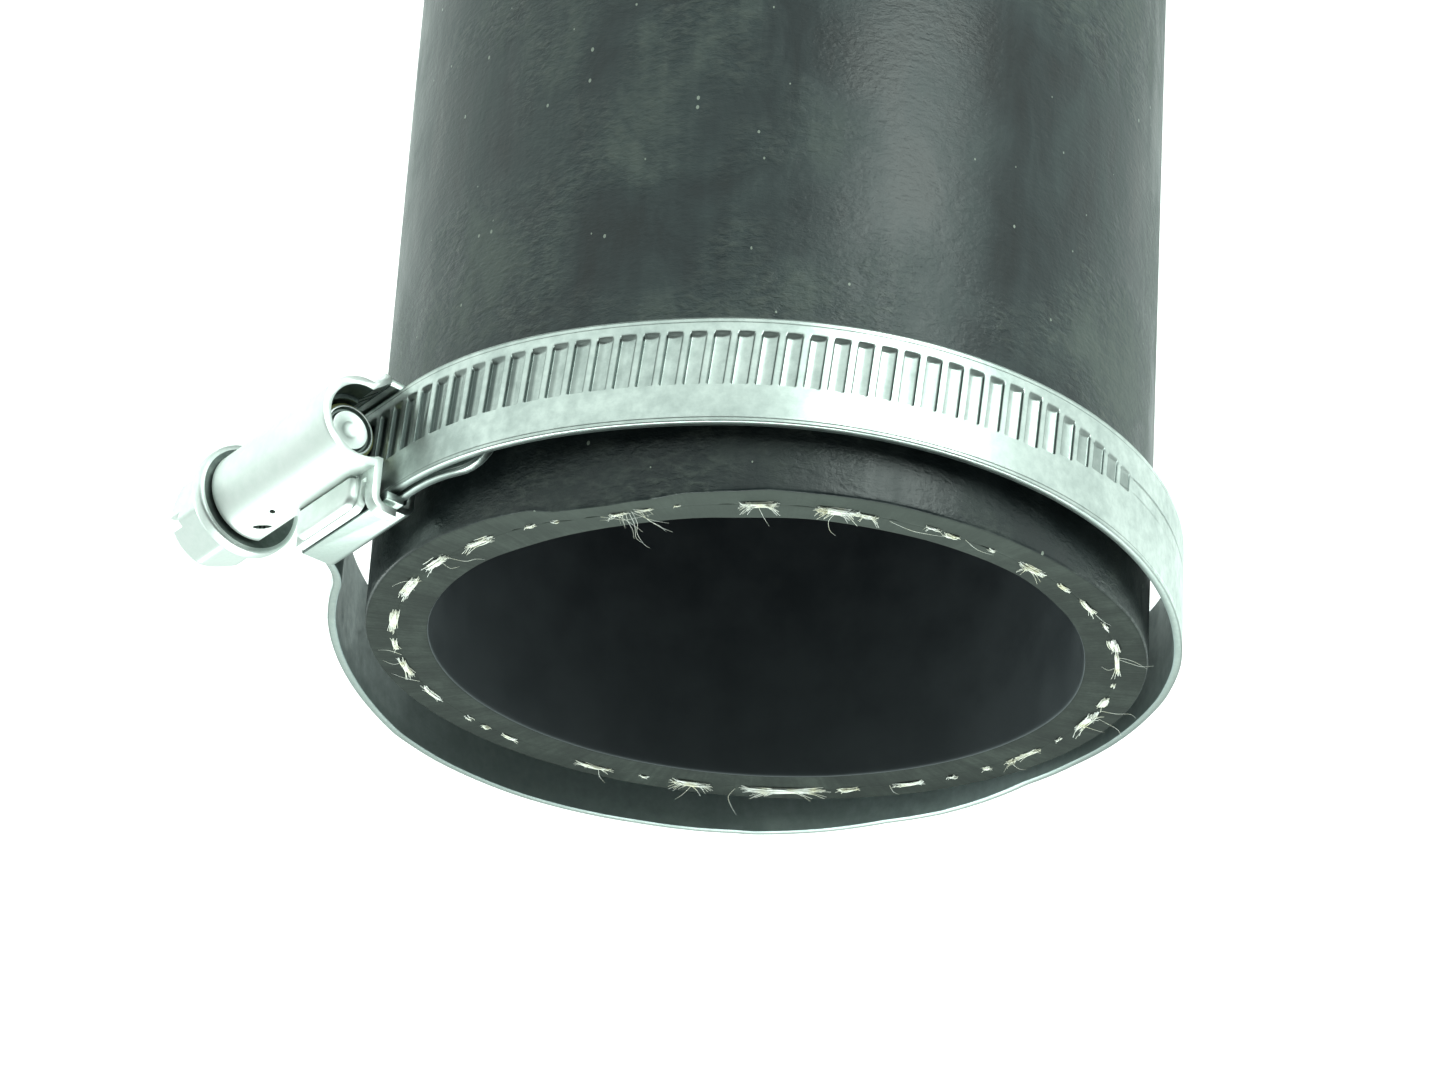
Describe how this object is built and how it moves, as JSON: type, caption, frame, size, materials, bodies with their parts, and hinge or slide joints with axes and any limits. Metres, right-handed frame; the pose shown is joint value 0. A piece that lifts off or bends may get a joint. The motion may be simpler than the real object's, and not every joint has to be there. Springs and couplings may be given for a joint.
{
  "type": "intercooler hose",
  "caption": "End of a reinforced rubber charge-air hose, square-cut, with a loose worm-drive band clamp near its open end.",
  "frame": {"origin": "Centre of the whole part's footprint, on the surface that the hose's plain end stands on", "axes": "+Z along the hose from its plain end to its open, clamped end; the clamp's screw housing is on the +X, -Y side"},
  "size_m": [0.0788, 0.0664, 0.1223],
  "materials": {
    "liner_rubber": "matte black liner rubber",
    "cover_rubber": "matte black cover rubber with a faint greenish bloom",
    "yarn": "off-white reinforcing yarn",
    "band_steel": "bright zinc-plated strip",
    "housing_steel": "bright zinc-plated pressing",
    "screw_steel": "zinc-plated turned steel"
  },
  "bodies": {
    "hose_and_clamp": {"inner_tube": "liner_rubber", "textile_ply": "yarn", "outer_cover": "cover_rubber", "clamp_band": "band_steel", "clamp_saddle": "housing_steel", "clamp_housing": "housing_steel"},
    "screw": {"worm_screw": "screw_steel"}
  },
  "joints": [
    {"name": "screw_turn", "type": "hinge", "parent": "hose_and_clamp", "child": "screw", "pos_m": [0.02319, -0.02247, 0.11168], "axis": [-0.606, -0.7911, -0.0832], "continuous": true}
  ]
}
